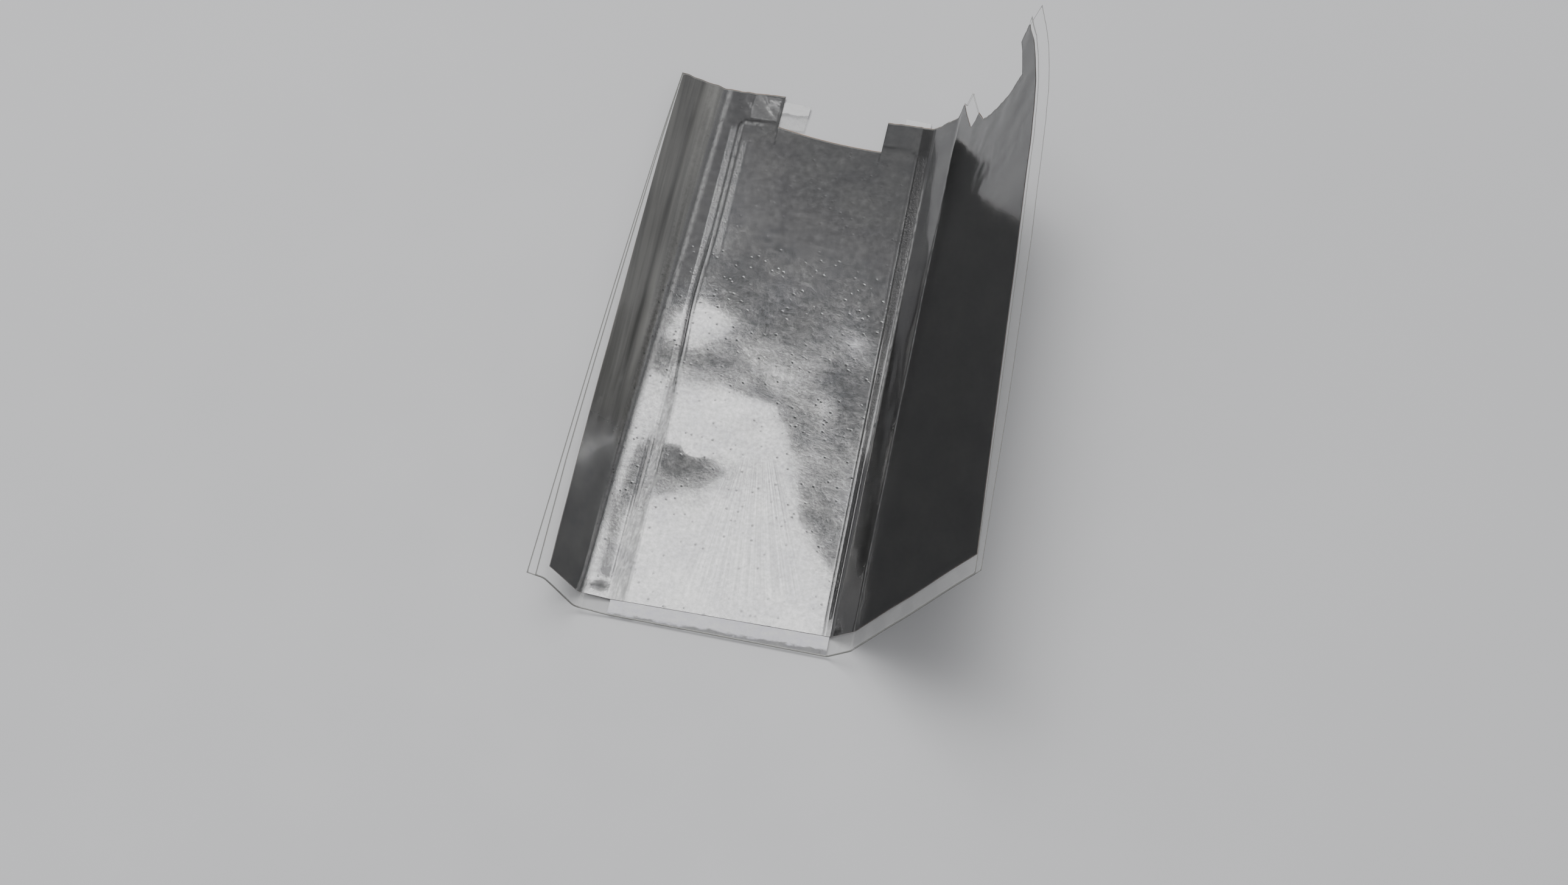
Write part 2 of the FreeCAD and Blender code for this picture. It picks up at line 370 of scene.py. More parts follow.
# the right wing: its width at places along, and the width with its widest film
WING_ALONG = [-3, 0, 20, 45, 65, 70, 75, 80, 85, 88.3, 93]
WING_EDGE = [31.6, 31.6, 31.1, 30.7, 30.2, 29.85, 29.1, 27.7, 25.9, 24.1, 22.0]
FILM_EDGE = [33.1, 33.2, 34.2, 34.6, 34.3, 33.95, 33.0, 31.65, 29.65, 28.1, 25.9]
# its torn rear edge: shares of its width, and where the sheet and the clear film end there
TEAR_SHARE = [-0.1, -0.01, 0.045, 0.225, 0.27, 0.325, 0.39, 0.48, 0.58, 0.72, 0.855, 0.872, 0.93, 1]
TEAR_END = [88.2, 88.3, 90.3, 82.2, 82.3, 83.4, 80.7, 79.7, 79.3, 79.1, 80.2, 87.8, 88.7, 89.5]
FILM_SPIKE_SHARE = [0.0, 0.05, 0.10, 0.185, 0.32]
FILM_SPIKE_END = [88.0, 90.3, 89.0, 90.1, 83.4]
WING_REAR_WIDTH = 27.0
# the copper shows as a line past the coating at the rear edge
FOIL_PROUD = 0.13


def steps(start, end, size):
    """Even places from start to end, at most a size apart."""
    count = max(2, int(math.ceil(abs(end - start) / size)) + 1)
    return np.linspace(start, end, count)


def joined(*parts):
    """Lists of places, end to end, without doubles."""
    out = [parts[0]]
    for part in parts[1:]:
        out.append(part[1:] if abs(part[0] - out[-1][-1]) < 1e-6 else part)
    return np.concatenate(out)


def centre_end(across):
    """The rear edge of the centre panel: two ears and the notch between them."""
    notch = NOTCH_FLOOR + 0.0068 * (EAR_RIGHT_IN - across) ** 2
    left_ear = EAR_LEFT_END + 0.03 * (across + 13)
    right_ear = EAR_RIGHT_END + 0.02 * (across - 12)
    ear = np.where(across < 0, left_ear, right_ear)
    ragged = 0.10 * value_noise(across * 1.7, across * 0 + 3.5, 11)
    in_notch = (across > EAR_LEFT_IN) & (across < EAR_RIGHT_IN)
    return np.where(in_notch, notch + 0.05 * ragged, ear + ragged)


def front_overhang(across):
    """How far a film runs past the front edge: a little further on the right."""
    return np.clip(2.35 + 0.02 * (across + 15), 1.6, 2.95)


def left_overhang(along, kind):
    """How far a film runs past the left wing: it was wound on slightly askew."""
    lower = np.maximum(2.75 - 0.0283 * along, 0.1)
    return lower if kind == "lower" else np.minimum(1.65, 0.72 * lower)


ROWS_FILM = steps(-1, 0, 0.13)
ROWS_SHEET = steps(0, TORN_FROM, 0.5)
TAIL = steps(0, 1, 1 / 26)


def rows_for(end, kind, overhang):
    """Row places for each column: even rows up to the torn stretch, then squeezed to its end."""
    is_film = kind in ("upper", "lower")
    end = end + FOIL_PROUD * (kind == "foil")
    even = np.repeat(ROWS_SHEET[:, None], len(end), axis=1)
    tail = TORN_FROM + TAIL[1:, None] * (end[None, :] - TORN_FROM)
    rows = [even, tail]
    if is_film:
        rows.insert(0, ROWS_FILM[:-1, None] * (overhang + 0 * end)[None, :])
    return np.concatenate(rows)


# ---------------------------------------------------------------- grids of the panels
# Each gives the places across and along of a panel's points, for the kind of layer: "coating",
# "foil", "upper" film or "lower" film.
def centre_grid(kind):
    """The centre panel, with close columns where the ears' inner edges step to the notch."""
    low, high = left_crease(86.0) + SEAM_LEFT, right_crease(86.0) + SEAM_RIGHT
    lip = 0.03
    left_step = np.array([EAR_LEFT_IN - lip, EAR_LEFT_IN + lip])
    right_step = np.array([EAR_RIGHT_IN - lip, EAR_RIGHT_IN + lip])
    at = joined(
        steps(low, left_step[0], 0.25), left_step, steps(left_step[1], right_step[0], 0.3),
        right_step, steps(right_step[1], high, 0.25),
    )
    share = (at - low) / (high - low)
    along = rows_for(centre_end(at), kind, front_overhang(at))
    left, right = left_crease(along) + SEAM_LEFT, right_crease(along) + SEAM_RIGHT
    return left + share[None, :] * (right - left), along


def left_side_grid(kind):
    out = steps(LEFT_SIDE_WIDTH / 2, -SEAM_LEFT, 0.09)
    at = left_crease(88.0) - out
    end = centre_end(np.minimum(at, -11.0)) - 0.05 * np.maximum(out, 0)
    along = rows_for(end, kind, front_overhang(at))
    return left_crease(along) - out[None, :], along


def left_wing_grid(kind):
    """The left wing, from the middle of its side strip out to its edge or its film's edge."""
    is_film = kind in ("upper", "lower")
    out = joined(steps(-LEFT_SIDE_WIDTH / 2, 2.0, 0.14), steps(2.0, LEFT_WING_WIDTH, 0.2))
    if is_film:
        out = joined(out, LEFT_WING_WIDTH + steps(0, 1, 0.14))
    end = 89.9 + 0.06 * np.maximum(out, 0) + 0.12 * value_noise(out, out * 0, 5)
    along = rows_for(end, kind, front_overhang(-18 - out))
    beyond = np.maximum(out - LEFT_WING_WIDTH, 0)[None, :] * left_overhang(along, kind)
    width = np.minimum(out, LEFT_WING_WIDTH)[None, :] + beyond
    return (left_outer_crease(along) - width)[:, ::-1], along[:, ::-1]


def right_side_middle(along):
    return (right_crease(along) + right_outer_crease(along)) / 2


def right_side_grid(kind):
    share = steps(0, 1, 0.02)
    at = 14 + 4 * share
    end = EAR_RIGHT_END + 0.1 * value_noise(at * 2, at * 0, 6)
    along = rows_for(end, kind, front_overhang(at))
    low, high = right_crease(along) + SEAM_RIGHT, right_side_middle(along)
    return low + share[None, :] * (high - low), along


def right_wing_grid(kind):
    """The right wing: columns up to its crease, over the wing, and over the film past its edge."""
    start = -(RIGHT_SIDE_FRONT + RIGHT_SIDE_REAR) / 4
    inner = steps(start, 0, 0.14)
    wide = joined(
        steps(0, 0.04, 0.006), steps(0.04, 0.855, 0.0135),
        steps(0.855, 0.872, 0.006), steps(0.872, 1, 0.0135),
    )[1:]
    share = np.concatenate([inner / WING_REAR_WIDTH, wide])
    end = np.interp(share, TEAR_SHARE, TEAR_END) + 0.12 * value_noise(share * 60, share * 0, 7)
    extra = steps(0, 1, 0.14)[1:]
    if kind in ("upper", "lower"):
        end = np.maximum(end, np.interp(share, FILM_SPIKE_SHARE, FILM_SPIKE_END, left=0, right=0))
        end = np.concatenate([end, 89.6 + 1.0 * extra])
    along = rows_for(end, kind, 2.95 - 0.2 * np.linspace(0, 1, len(end)))
    first, last = len(inner), len(share)
    near, body = along[:, :first], along[:, first:last]
    seam = right_side_middle(near)
    columns = [seam + (1 - inner / start) * (right_outer_crease(near) - seam)]
    columns.append(right_outer_crease(body) + wide * np.interp(body, WING_ALONG, WING_EDGE))
    if kind in ("upper", "lower"):
        outer = along[:, last:]
        edge = np.interp(outer, WING_ALONG, WING_EDGE)
        reach = (np.interp(outer, WING_ALONG, FILM_EDGE) - edge) * (0.28 if kind == "upper" else 1.0)
        columns.append(right_outer_crease(outer) + edge + reach * extra)
    return np.concatenate(columns, axis=1), along


GRIDS = {
    "centre": centre_grid,
    "left_side": left_side_grid,
    "left_wing": left_wing_grid,
    "right_side": right_side_grid,
    "right_wing": right_wing_grid,
}


# ---------------------------------------------------------------- marks that drive the materials
def film_marks(panel, across, along):
    """Which points of a film lie past the coated sheet, how near its rim, and how scuffed."""
    past = -along
    rim = along - along[0:1]
    if panel == "left_wing":
        past = np.maximum(past, left_outer_crease(along) - LEFT_WING_WIDTH - across)
        rim = np.minimum(rim, across - across[:, 0:1])
    elif panel == "right_wing":
        edge = np.interp(along, WING_ALONG, WING_EDGE)
        past = np.maximum(past, across - right_outer_crease(along) - edge)
        rim = np.minimum(rim, across[:, -1:] - across)
    past = np.maximum(past, along - 0.02 - end_of_sheet(panel, across, along))
    rim = np.minimum(rim, along[-1:] - along)
    right = hill(across - right_crease(along) - 0.1, 0.16) * between(along, 26, 80, 8)
    right = np.maximum(right, 0.5 * hill(across - right_outer_crease(along), 0.12))
    left = 0.7 * hill(across - left_outer_crease(along) + 0.1, 0.3)
    left = np.maximum(left, 0.8 * hill(across + 15.4, 0.1) * between(along, 0, 27, 5))
    left = np.maximum(left, 0.8 * hill(plate_inside(across, along) - 0.15, 0.14) * (across < 0))
    return {"free": smooth(past / 0.25), "rim": np.clip(rim, 0, 1), "scuff": np.maximum(left, right)}


def end_of_sheet(panel, across, along):
    """Where the coated sheet ends behind each point of the right wing's film."""
    if panel != "right_wing":
        return 99 + 0 * along
    share = (across - right_outer_crease(along)) / np.interp(along, WING_ALONG, WING_EDGE)
    return np.interp(share, TEAR_SHARE, TEAR_END)


def coating_grain(across, along):
    """Where the coating is rough: beside the plate's imprint and along the wings' creases."""
    beside_plate = between(across, -15.5, plate_left(along) + 0.1, 0.3) * between(along, 0, 84, 2)
    inner_left = 0.6 * between(across, plate_left(along) + 0.5, -12.0, 0.5) * between(along, 58, 83, 4)
    outer_left = 0.9 * hill(across - left_outer_crease(along) + 0.3, 0.7)
    beside_right = between(across, 13.7, right_crease(along) - 0.1, 0.3) * between(along, 0, 84, 2)
    past_right = across - right_outer_crease(along)
    wing_foot = 0.5 * between(past_right, -0.4, 1.6, 0.5) * between(along, 3, 42, 6)
    return np.max([beside_plate, inner_left, outer_left, beside_right, wing_foot], axis=0)


def beside_plate_painted_shade(across, along):
    """Painted shade beside the plate: its groove is darkened, and so are a crumbly band on its left, a
    band by the left wing's crease and a band on its right, which dims their sheen; at the right front a
    thin line is left lighter and a groove beside it is darkened.
    """
    deep = 0.15 + 0.5 * smooth((along - 34) / 6) * (across < 0) + 0.3 * (across > 0)
    # painted shade in the groove at the foot of the plate's step
    shade = 1 - deep * hill(plate_inside(across, along) + 0.38, 0.17) * (along > 0.3)
    crumbly = 1 + 0.5 * rough_noise(across * 5, along * 2.2, 95)
    # painted shade: bands beside the plate and by the left wing's crease are darkened, unevenly
    left_band = between(across, -14.95, plate_left(along) + 0.1, 0.2) * smooth((38 - along) / 3)
    left_band = np.maximum(left_band, 0.35 * between(across, -20.2, -19.2, 0.4))
    streaky = 0.9 * between(across, -16.0, -14.6, 0.4) * smooth((30 - along) / 6)
    left_band = np.maximum(left_band, streaky)
    shade *= 1 - np.clip(0.5 * crumbly, 0, 0.8) * left_band
    # painted shade on the band right of the plate, with a thin line at its front left lighter
    right_band = between(across, 13.85, right_crease(along), 0.2)
    shade *= 1 - 0.64 * right_band * (1 - 0.9 * hill(across - 14.35, 0.12) * (along < 33))
    # painted shade in the groove beside the right crease at the front
    return shade * (1 - 0.5 * between(across, 14.75, 15.3, 0.15) * between(along, 0.5, 31, 4))


def right_painted_light_and_shade(across, along):
    """Painted light and shade on the right: the side strip is lightened at its front and darkened a
    little behind that, the right wing is darkened, and both are darkened towards the rear.
    """
    on_side = between(across, right_crease(along), right_outer_crease(along), 0.5)
    # painted light at the side strip's front, and a little painted shade behind it
    shade = 1 + on_side * (0.8 * smooth((9 - along) / 7) - 0.08 * smooth((52 - along) / 15))
    # painted shade: the right wing and, towards the rear, the side strip are darkened
    shade *= 1 - 0.58 * smooth((across - right_outer_crease(along)) / 1)
    return shade * (1 - 0.25 * smooth((across - right_crease(along)) / 0.5) * smooth((along - 60) / 15))


def left_wing_painted_light_and_shade(out, along):
    """Painted light and shade on the left wing, with random patches: it is lightened, more so at the
    front of its rear part, and on its olive-grey rear part it grows darker outwards, with a dark streak
    running along it.
    """
    rear_left = smooth((out - 0.5) / 1) * smooth((along - 30) / 10)
    # a dark streak of painted shade, and random patches
    streak = 0.25 * hill(out - 4.4 - 0.3 * value_noise(along / 9, along * 0, 91), 0.4)
    patchy = 0.12 * rough_noise(out / 2.5 + 30, along / 9 + 30, 92)
    # painted light: the whole wing is lightened; painted shade darkens its rear part outwards
    shade = 1 + 0.5 * smooth((out - 0.5) / 1)
    shade *= 1 + rear_left * (0.12 - 0.28 * smooth((out - 2.0) / 4) - streak + patchy)
    return shade * (1 + 0.3 * rear_left * smooth((62 - along) / 12))


def coating_marks(across, along):
    """Grain, the olive-grey left wing with its painted ripple shading, the fan of strokes at the front,
    how matt, and the painted light and shade that darkens or lightens the colour.
    """
    out = left_outer_crease(along) - across
    on_right_wing = smooth((across - right_outer_crease(along)) / 1)
    matte = smooth((out - 0.2) / 0.8) * (0.42 - 0.24 * smooth((along - 20) / 40))
    bearing = np.degrees(np.arctan2(across + 1.5, 36 - along))
    reach = np.hypot(across + 1.5, along - 36)
    # painted light and shade beside the plate and on the right
    shade = beside_plate_painted_shade(across, along) * right_painted_light_and_shade(across, along)
    return {
        "grain": coating_grain(across, along),
        # where the left wing's rear is olive-grey and carries painted ripple shading
        "olive_and_painted_ripple_lines": smooth((out - 1.0) / 0.5) * smooth((along - 21) / 8),
        "fan": between(bearing, -12, 24, 5) * between(reach, 8, 36, 6) * (along < 34),
        "bearing": bearing,
        # painted light and shade: multiplies the coating's colour, darker or lighter by place
        "shade": shade * left_wing_painted_light_and_shade(out, along),
        # where pits, fine bumps and the painted sparkle are strong, weaker towards the rear
        "sparkle": between(across, -21, 15.5, 1.0) * (0.35 + 0.65 * smooth((64 - along) / 12)),
        "matte": matte + 0.24 * on_right_wing,
        "coat": 1 - 0.9 * on_right_wing,
    }


# ---------------------------------------------------------------- meshes
LAYER_GAP = 0.008
SUPPORT = 0.04


def plate_mesh(name, upper, lower, marks):
    """A closed thin piece between two grids of points, with marks for its material."""
    rows, cols = upper.shape[:2]
    count = rows * cols
    index = np.arange(count).reshape(rows, cols)
    quads = np.stack([index[:-1, :-1], index[:-1, 1:], index[1:, 1:], index[1:, :-1]], axis=-1)
    quads = quads.reshape(-1, 4)
    rim = np.concatenate([index[0, :], index[1:, -1], index[-1, -2::-1], index[-2:0:-1, 0]])
    following = np.roll(rim, -1)
    sides = np.stack([rim, rim + count, following + count, following], axis=-1)
    faces = np.concatenate([quads, quads[:, ::-1] + count, sides])
    mesh = bpy.data.meshes.new(name)
    mesh.vertices.add(2 * count)
    places = np.concatenate([upper.reshape(-1, 3), lower.reshape(-1, 3)])
    mesh.vertices.foreach_set("co", places.astype(np.float32).ravel())
    mesh.loops.add(faces.size)
    mesh.loops.foreach_set("vertex_index", faces.astype(np.int32).ravel())
    mesh.polygons.add(len(faces))
    mesh.polygons.foreach_set("loop_start", np.arange(0, faces.size, 4, dtype=np.int32))
    mesh.update(calc_edges=True)
    smooth_faces = np.ones(len(faces), bool)
    smooth_faces[2 * len(quads) :] = False
    mesh.polygons.foreach_set("use_smooth", smooth_faces)
    for key, value in marks.items():
        layer = mesh.attributes.new(key, "FLOAT", "POINT")
        both = np.concatenate([value.ravel(), value.ravel()]).astype(np.float32)
        layer.data.foreach_set("value", both)
    mesh.validate()
    piece = bpy.data.objects.new(name, mesh)
    bpy.context.scene.collection.objects.link(piece)
    return piece


def with_support(values):
    """Adds a line just inside each border, so that smooth shading turns over only there."""
    for _ in range(2):
        first = values[:1] + SUPPORT * (values[1:2] - values[:1])
        last = values[-1:] + SUPPORT * (values[-2:-1] - values[-1:])
        values = np.concatenate([values[:1], first, values[1:-1], last, values[-1:]]).T
    return values


def shell(name, across, along, top, thick, marks, lift=0.0):
    """A thin piece over a grid of the sheet, its top face at a height over the sheet."""
    across, along, lift = [with_support(v + 0 * across) for v in (across, along, lift)]
    marks = {key: with_support(value) for key, value in marks.items()}
    raised = relief(across, along) + lift
    upper = SHEET.point(across, along, raised + top)
    lower = SHEET.point(across, along, raised + top - thick)
    return plate_mesh(name, upper, lower, {"across": across, "along": along, **marks})


# ---------------------------------------------------------------- materials
class Look:
    """A Principled material and short ways to add nodes that drive it."""

    def __init__(self, name):
        self.material = bpy.data.materials.new(name)
        self.material.use_nodes = True
        self.tree = self.material.node_tree
        self.shader = self.tree.nodes["Principled BSDF"]

    def set(self, **sockets):
        for name, value in sockets.items():
            self.shader.inputs[name.replace("_", " ")].default_value = value
        return self

    def link(self, source, socket):
        self.tree.links.new(source, self.shader.inputs[socket])

    def plug(self, socket, value):
        if hasattr(value, "is_output"):
            self.tree.links.new(value, socket)
        else:
            socket.default_value = value

    def node(self, kind, **inputs):
        made = self.tree.nodes.new(kind)
        for name, value in inputs.items():
            self.plug(made.inputs[name.replace("_", " ")], value)
        return made

    def mark(self, attribute):
        made = self.tree.nodes.new("ShaderNodeAttribute")
        made.attribute_name = attribute
        return made.outputs["Fac"]

    def math(self, operation, a, b=0.0, clamp=False):
        made = self.tree.nodes.new("ShaderNodeMath")
        made.operation = operation
        made.use_clamp = clamp
        self.plug(made.inputs[0], a)
        self.plug(made.inputs[1], b)
        return made.outputs[0]

    def place(self, u="across", v="along", stretch=(1, 1)):
        """Coordinates from two marks of the mesh, each multiplied by its stretch."""
        made = self.tree.nodes.new("ShaderNodeCombineXYZ")
        self.plug(made.inputs[0], self.math("MULTIPLY", self.mark(u), stretch[0]))
        self.plug(made.inputs[1], self.math("MULTIPLY", self.mark(v), stretch[1]))
        return made.outputs[0]

    def object_place(self):
        made = self.tree.nodes.new("ShaderNodeTexCoord")
        return made.outputs["Object"]

    def noise(self, place, scale, detail=2.0, roughness=0.5):
        made = self.node(
            "ShaderNodeTexNoise", Vector=place, Scale=scale, Detail=detail, Roughness=roughness
        )
        return made.outputs["Fac"]

    def cells(self, place, scale):
        made = self.node("ShaderNodeTexVoronoi", Vector=place, Scale=scale)
        return made.outputs["Distance"]

    def ramp(self, value, stops):
        made = self.tree.nodes.new("ShaderNodeValToRGB")
        self.tree.links.new(value, made.inputs[0])
        places = made.color_ramp.elements
        while len(places) < len(stops):
            places.new(0.5)
        for element, (place, colour) in zip(places, stops):
            element.position = place
            rgb = colour if hasattr(colour, "__len__") else (colour, colour, colour)
            element.color = (*rgb, 1)
        return made.outputs[0]

    def mix(self, share, a, b, blend="MIX"):
        made = self.tree.nodes.new("ShaderNodeMix")
        made.data_type = "RGBA"
        made.blend_type = blend
        sockets = [s for s in made.inputs if s.enabled]
        self.plug(sockets[0], share)
        for socket, value in zip(sockets[1:], (a, b)):
            self.plug(socket, value if hasattr(value, "is_output") else (*value, 1))
        return next(s for s in made.outputs if s.enabled)

    def bump(self, height, distance, strength=1.0, normal=None):
        made = self.node("ShaderNodeBump", Height=height, Strength=strength, Distance=distance)
        if normal:
            self.tree.links.new(normal, made.inputs["Normal"])
        return made.outputs[0]


def graphite_look():
    """Calendered graphite, wet under its film: a dark sheen with pits, grain and faint strokes. Its
    colour carries painted shade in the pits and in lines along the left wing, painted sparkle flecks,
    painted highlights on the strokes, and the mark of painted light and shade.
    """
    look = Look("graphite_coating").set(
        Metallic=0.97, Coat_Weight=1.0, Coat_Roughness=0.04, Coat_IOR=1.45
    )
    place = look.place()
    mottle = look.noise(place, 0.16, 4.0, 0.6)
    clouds = look.ramp(mottle, [(0.3, (0.165, 0.165, 0.17)), (0.7, (0.23, 0.229, 0.226))])
    # painted shade: lighter and darker lines running along the left wing's olive-grey rear stand in for
    # the shading of its ripples
    painted_ripple_lines = look.noise(look.place(stretch=(1.1, 0.035)), 0.8, 3.0, 0.6)
    olive_colour_with_painted_lines = look.ramp(painted_ripple_lines, [(0.36, (0.140, 0.139, 0.135)), (0.62, (0.212, 0.209, 0.199))])
    look.link(look.math("SUBTRACT", 0.97, look.mark("matte")), "Metallic")
    colour = look.mix(look.mark("olive_and_painted_ripple_lines"), clouds, olive_colour_with_painted_lines)
    pits = look.ramp(look.cells(place, 0.75), [(0.06, 1.0), (0.18, 0.0)])
    pits = look.math("MULTIPLY", pits, look.mark("sparkle"))
    # painted shade: the pits are darkened in the colour
    colour = look.mix(look.math("MULTIPLY", pits, 0.7), colour, (0.05, 0.05, 0.05))
    # painted light and shade multiplies the colour
    colour = look.mix(1.0, colour, look.mark("shade"), "MULTIPLY")
    # painted sparkle: light and dark flecks in the colour stand in for glints off the grain
    painted_glint_flecks = look.ramp(look.noise(place, 1.6, 5.0, 0.75), [(0.34, 0.72), (0.66, 1.14)])
    colour = look.mix(look.mark("sparkle"), colour, look.mix(1.0, colour, painted_glint_flecks, "MULTIPLY"))
    # painted highlights: the fan's strokes are made lighter and darker in the colour, standing in for
    # their glints
    painted_stroke_highlights = look.noise(look.place("bearing", "along", (1.4, 0.03)), 1.0, 2.0)
    painted_stroke_highlights = look.mix(1.0, colour, look.ramp(painted_stroke_highlights, [(0.38, 0.86), (0.62, 1.12)]), "MULTIPLY")
    colour = look.mix(look.mark("fan"), colour, painted_stroke_highlights)
    look.link(colour, "Base Color")
    rough = look.ramp(look.noise(place, 0.9, 3.0, 0.6), [(0.3, 0.12), (0.7, 0.18)])
    rough = look.math("ADD", rough, look.math("MULTIPLY", look.mark("olive_and_painted_ripple_lines"), 0.2))
    look.link(look.math("ADD", rough, look.math("MULTIPLY", look.mark("grain"), 0.06)), "Roughness")
    look.link(look.mark("coat"), "Coat Weight")
    swell = look.math("MULTIPLY", look.noise(place, 0.45, 1.0), look.mark("sparkle"))
    soft = look.bump(swell, 0.00003, 0.5)
    pebbles = look.math("MULTIPLY", look.noise(place, 2.6, 3.0, 0.6), look.mark("sparkle"))
    fine = look.bump(pebbles, 0.00001, 0.6, soft)
    dents = look.bump(look.math("SUBTRACT", 1.0, pits), 0.00002, 0.7, fine)
    strokes = look.noise(look.place("bearing", "along", (1.6, 0.03)), 1.0, 2.0)
    strokes = look.bump(look.math("MULTIPLY", strokes, look.mark("fan")), 0.00004, 0.6, dents)
    crumbs = look.noise(look.place(stretch=(1.0, 0.7)), 3.6, 3.0, 0.7)
    crumbs = look.bump(look.math("MULTIPLY", crumbs, look.mark("grain")), 0.00005, 0.7, strokes)
    look.link(crumbs, "Normal")
    return look.material


def film_look():
    """Clear microporous film: nearly unseen on the wet sheet, faintly milky past its edge, with painted
    shade as a dark line along its rim.
    """
    look = Look("separator_film").set(Roughness=0.12, IOR=1.45)
    # painted shade: a dark, denser line along the film's rim
    edge = look.ramp(look.mark("rim"), [(0.0, 1.0), (0.12, 0.8), (0.22, 0.0)])
    flecks = look.noise(look.place(stretch=(1.0, 0.4)), 1.9, 3.0, 0.7)
    flecks = look.ramp(flecks, [(0.35, 0.0), (0.62, 1.0)])
    scuff = look.math("MULTIPLY", look.math("MULTIPLY", look.mark("scuff"), flecks), 0.3)
    clouds = look.ramp(look.noise(look.place(), 0.35, 3.0), [(0.3, 0.5), (0.7, 1.3)])
    haze = look.math("MULTIPLY", look.math("MULTIPLY", look.mark("free"), clouds), 0.055)
    hem = look.math("ADD", scuff, look.math("MULTIPLY", edge, 0.7))
    alpha = look.math("ADD", look.math("ADD", 0.006, haze), hem)
    look.link(look.math("MINIMUM", alpha, 1.0), "Alpha")
    # the rim's dark colour is painted shade
    look.link(look.mix(edge, (0.86, 0.86, 0.85), (0.24, 0.24, 0.22)), "Base Color")
    wrinkles = look.noise(look.place(stretch=(1.0, 0.3)), 0.6, 3.0)
    look.link(look.bump(wrinkles, 0.00008, 0.5), "Normal")
    return look.material


def copper_look():
    """Thin rolled copper foil, brownish and slightly uneven at its cut edge."""
    look = Look("copper_foil").set(Metallic=1.0)
    place = look.place(stretch=(1.0, 0.15))
    tint = look.noise(place, 1.2, 3.0)
    tint = look.ramp(tint, [(0.3, (0.30, 0.17, 0.11)), (0.7, (0.50, 0.30, 0.20))])
    look.link(tint, "Base Color")
    look.link(look.ramp(look.noise(place, 3.0), [(0.3, 0.25), (0.7, 0.45)]), "Roughness")
    look.link(look.bump(look.noise(place, 4.0), 0.000005, 0.6), "Normal")
    return look.material


def dry_strip_look():
    """The dry front strip of separator: white and lilac at the sheet, clearing to a wavy rim."""
    look = Look("dry_separator").set(IOR=1.45)
    clouds = look.noise(look.place(stretch=(0.45, 1.0)), 1.1, 3.0, 0.6)
    tint = look.ramp(clouds, [(0.35, (0.95, 0.95, 0.96)), (0.65, (0.88, 0.87, 0.95))])
    look.link(tint, "Base Color")
    wavy = look.math("ADD", look.mark("along"), look.math("MULTIPLY", clouds, 1.5))
    dense = look.ramp(look.math("ADD", wavy, 1.7), [(0.30, 0.16), (0.62, 1.0)])
    flecks = look.ramp(look.noise(look.place(), 2.6, 3.0, 0.7), [(0.45, 0.0), (0.75, 0.1)])
    look.link(look.math("SUBTRACT", dense, flecks, clamp=True), "Alpha")
    look.link(look.ramp(clouds, [(0.3, 0.35), (0.7, 0.6)]), "Roughness")
    look.link(look.bump(look.noise(look.place(), 1.6, 3.0), 0.00008, 0.6), "Normal")
    return look.material


def tape_look():
    """White polymer tape, dense where it is doubled at its free end and thin beside the sheet."""
    look = Look("tab_tape").set(IOR=1.45)
    clouds = look.noise(look.place(), 1.3, 3.0)
    look.link(look.ramp(clouds, [(0.3, (0.86, 0.86, 0.86)), (0.7, (0.93, 0.93, 0.93))]), "Base Color")
    veil = look.ramp(clouds, [(0.3, 0.22), (0.7, 0.38)])
    dense = look.math("MULTIPLY", look.mark("dense"), 0.72)
    look.link(look.math("ADD", veil, dense, clamp=True), "Alpha")
    look.link(look.ramp(clouds, [(0.3, 0.25), (0.7, 0.45)]), "Roughness")
    look.link(look.bump(look.noise(look.place(), 2.2), 0.00005, 0.5), "Normal")
    return look.material


def tab_film_look():
    """The crumpled clear film left on the left ear, glossy; its folds turn white near its rear right
    end, partly as white folds and partly as painted glints.
    """
    look = Look("tab_film").set(Roughness=0.06, IOR=1.5, Specular_IOR_Level=0.9)
    folds = look.ramp(look.mark("fold"), [(0.75, 0.0), (1.0, 0.7)])
    flecks = look.noise(look.place(), 1.5, 3.0)
    # white folds near the ear's rear right end, partly painted glints
    white_folds_and_painted_glints = look.math("MULTIPLY", folds, look.mark("white_folds_and_painted_glints"))
    look.link(look.math("ADD", 0.05, white_folds_and_painted_glints, clamp=True), "Alpha")
    look.link(look.ramp(flecks, [(0.3, (0.80, 0.80, 0.80)), (0.7, (0.95, 0.95, 0.95))]), "Base Color")
    look.link(look.bump(flecks, 0.0001, 0.6), "Normal")
    return look.material


def plate_look(name, dark, light, scale, metallic, rough):
    """A layer of the plate under the wrap, with cloudy colour and fine grain."""
    look = Look(name).set(Metallic=metallic)
    place = look.object_place()
    look.link(look.ramp(look.noise(place, scale, 4.0), [(0.3, dark), (0.7, light)]), "Base Color")
    uneven = look.noise(place, 3 * scale, 3.0)
    look.link(look.ramp(uneven, [(0.3, rough), (0.7, rough + 0.15)]), "Roughness")
    look.link(look.bump(look.noise(place, 12 * scale, 3.0), 0.00002, 0.6), "Normal")
    return look.material


def base_film_look():
    """The milky film under the plate."""
    look = Look("base_separator").set(Roughness=0.2, IOR=1.45)
    clouds = look.noise(look.object_place(), 160.0, 3.0)
    look.link(look.ramp(clouds, [(0.3, 0.16), (0.7, 0.30)]), "Alpha")
    look.link(look.ramp(clouds, [(0.3, (0.78, 0.78, 0.78)), (0.7, (0.9, 0.9, 0.9))]), "Base Color")
    look.link(look.bump(clouds, 0.00003, 0.4), "Normal")
    return look.material


